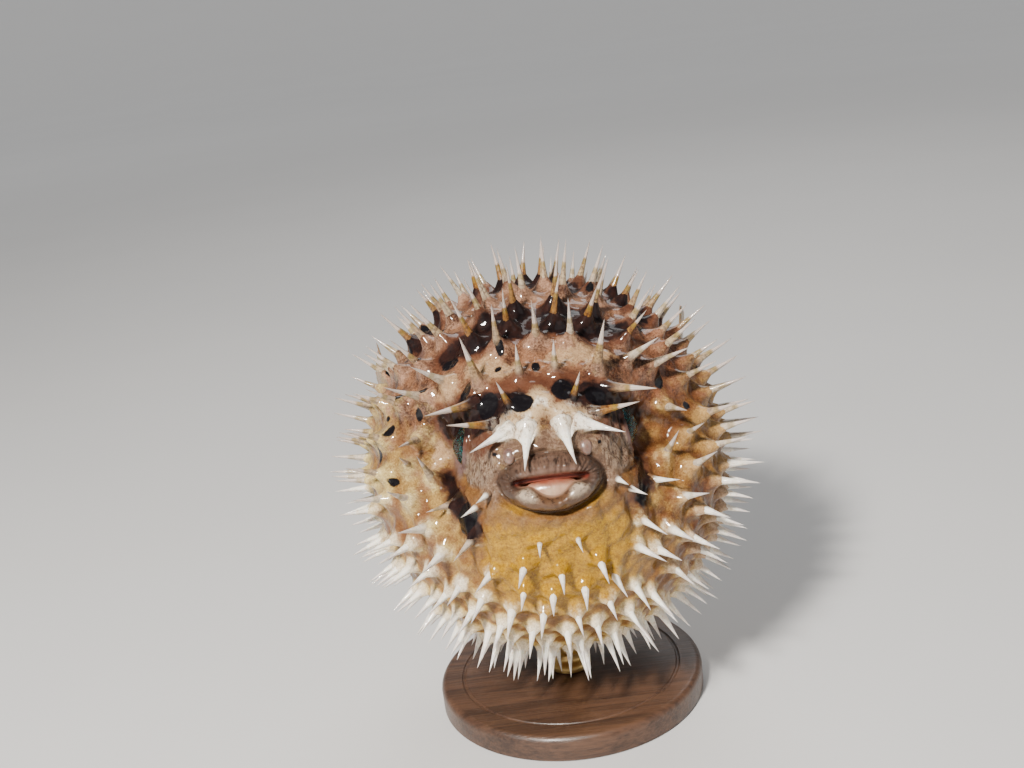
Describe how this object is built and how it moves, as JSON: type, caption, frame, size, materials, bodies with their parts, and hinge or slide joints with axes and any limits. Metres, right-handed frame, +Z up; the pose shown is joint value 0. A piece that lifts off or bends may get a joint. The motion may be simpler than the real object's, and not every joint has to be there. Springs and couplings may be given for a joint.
{
  "type": "inflated porcupinefish",
  "caption": "Inflated spiny pufferfish with level body, tilted mouth, side eyes, rounded fins and tall spines, held over a round base by a short rod.",
  "frame": {"origin": "centre of the stand's flat underside", "axes": "+Z up, the fish faces -Y with its tail towards +Y, and +X is on the right of a viewer who faces it"},
  "size_m": [0.0969, 0.1187, 0.1093],
  "materials": {
    "skin_head": "wet skin, tan and cream with near-black bars and spots",
    "skin_back": "wet skin, tan with dark brown bands",
    "skin_belly": "wet skin, pinkish cream with white spines",
    "eye": "clear dome over a golden iris and a dark pupil",
    "beak": "smooth cream",
    "nasal_flap": "wet, pale pink-grey",
    "fin": "thin ribbed membrane, olive and amber",
    "stand_wood": "dark oiled",
    "stand_brass": "satin"
  },
  "bodies": {
    "root": {"head": "skin_head", "back": "skin_back", "belly": "skin_belly", "tail": "skin_back", "eye_left": "eye", "eye_right": "eye", "beak_upper": "beak", "beak_lower": "beak", "nasal_flap_left": "nasal_flap", "nasal_flap_right": "nasal_flap", "fin_pectoral_left": "fin", "fin_pectoral_right": "fin", "fin_dorsal": "fin", "fin_anal": "fin", "fin_caudal": "fin", "stand_base": "stand_wood", "stand_collar": "stand_brass", "stand_rod": "stand_brass"}
  },
  "joints": []
}
